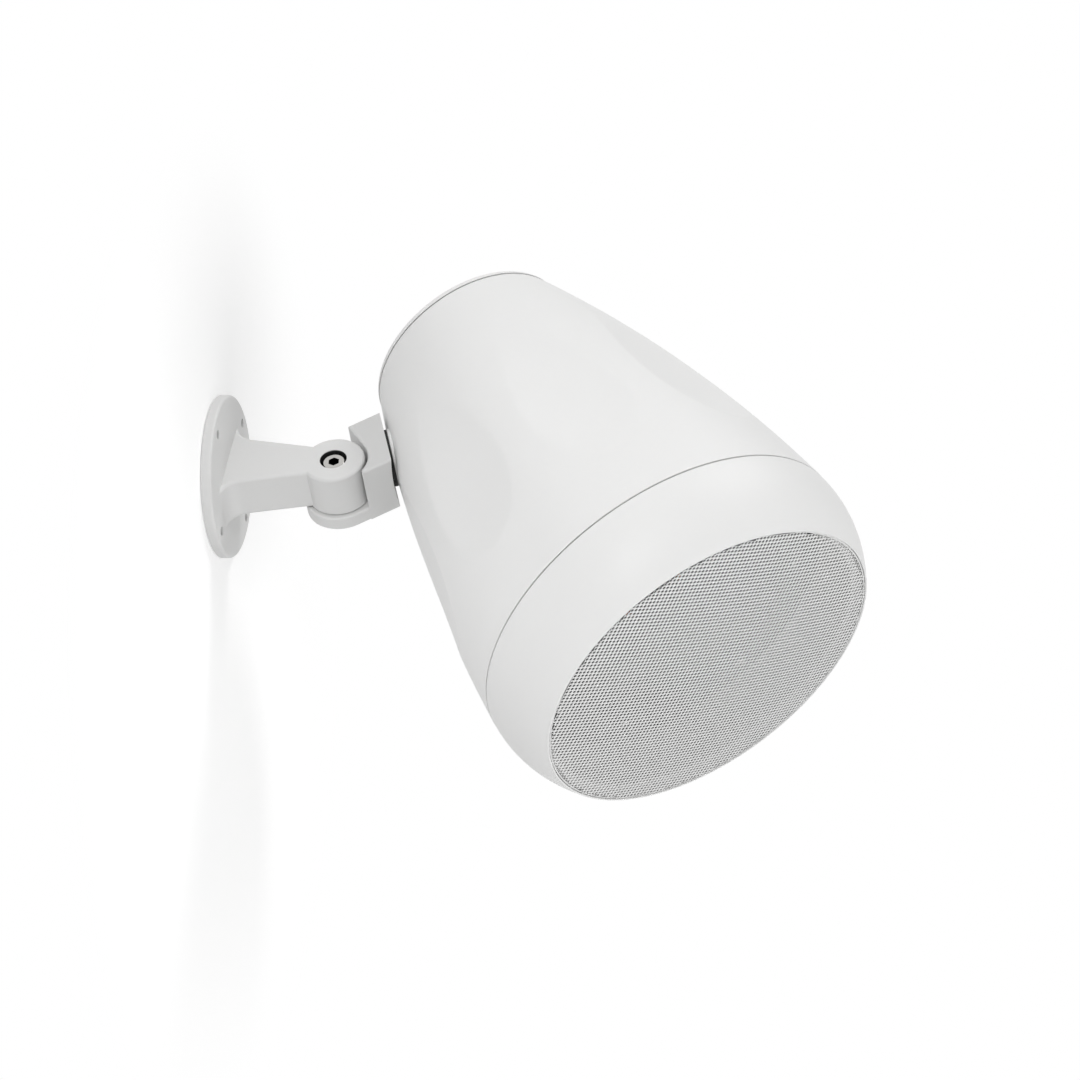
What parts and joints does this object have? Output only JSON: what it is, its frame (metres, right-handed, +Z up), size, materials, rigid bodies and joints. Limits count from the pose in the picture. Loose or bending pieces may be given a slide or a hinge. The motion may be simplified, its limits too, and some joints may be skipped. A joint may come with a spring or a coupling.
{
  "type": "sound projector",
  "caption": "Tapered wall-mounted sound projector with scooped sides, a domed perforated grille and a wall bracket that pans and tilts.",
  "frame": {"origin": "centre of the wall plate's back face", "axes": "+X out of the wall, +Z up along the knuckle bolt"},
  "size_m": [0.3799, 0.3199, 0.2335],
  "materials": {
    "housing_paint": "matte, fine grain",
    "bracket_paint": "matte powder coat",
    "grille_paint": "matte",
    "screw_steel": "satin",
    "plated_steel": "satin",
    "core_steel": "dull",
    "black_rubber": "matte",
    "black_plastic": "matte",
    "basket_paint": "matte",
    "cone_paper": "matte",
    "spider_cloth": "woven",
    "copper_wire": "satin",
    "ferrite": "dull",
    "board_green": "satin"
  },
  "bodies": {
    "bracket": {"wall_bracket": "bracket_paint"},
    "swivel": {"swivel_block": "bracket_paint", "knuckle_bolt": "screw_steel", "knuckle_nut": "screw_steel", "pivot_bolt": "screw_steel", "pivot_washer": "black_rubber", "pivot_nut": "screw_steel"},
    "cone": {"driver_cone": "cone_paper", "voice_coil": "copper_wire"},
    "speaker": {"housing": "housing_paint", "pivot_backing": "plated_steel", "rear_cap": "housing_paint", "rear_seal": "black_rubber", "rear_cap_screws": "screw_steel", "gland_body": "black_plastic", "gland_nut": "black_plastic", "gland_seal": "black_rubber", "gland_locknut": "black_plastic", "front_ring": "housing_paint", "ring_gasket": "black_rubber", "grille": "grille_paint", "baffle": "black_plastic", "baffle_screws": "screw_steel", "driver_gasket": "black_rubber", "driver_screws": "screw_steel", "driver_basket": "basket_paint", "driver_surround": "black_rubber", "driver_spider": "spider_cloth", "driver_top_plate": "plated_steel", "driver_magnet": "ferrite", "driver_back_plate": "plated_steel", "tweeter_body": "black_plastic", "tweeter_dome": "spider_cloth", "crossover_board": "board_green", "board_screws": "screw_steel", "transformer_core": "core_steel", "transformer_winding": "copper_wire", "crossover_inductor": "copper_wire", "crossover_capacitors": "black_plastic", "terminal_block": "board_green"}
  },
  "joints": [
    {"name": "pan", "type": "hinge", "parent": "bracket", "child": "swivel", "pos_m": [0.069, 0, 0], "axis": [0, 0, 1], "range_deg": [-51, 54]},
    {"name": "tilt", "type": "hinge", "parent": "swivel", "child": "speaker", "pos_m": [0.09804, 0.0211, -0.005], "axis": [0.9511, 0.3088, 0], "range_deg": [-70, 50]},
    {"name": "cone_travel", "type": "slide", "parent": "speaker", "child": "cone", "axis": [0.583, -0.7942, -0.1717], "range_m": [-0.003, 0.003], "stiffness_N_per_m": 1500, "deforming": ["driver_surround", "driver_spider"]}
  ]
}
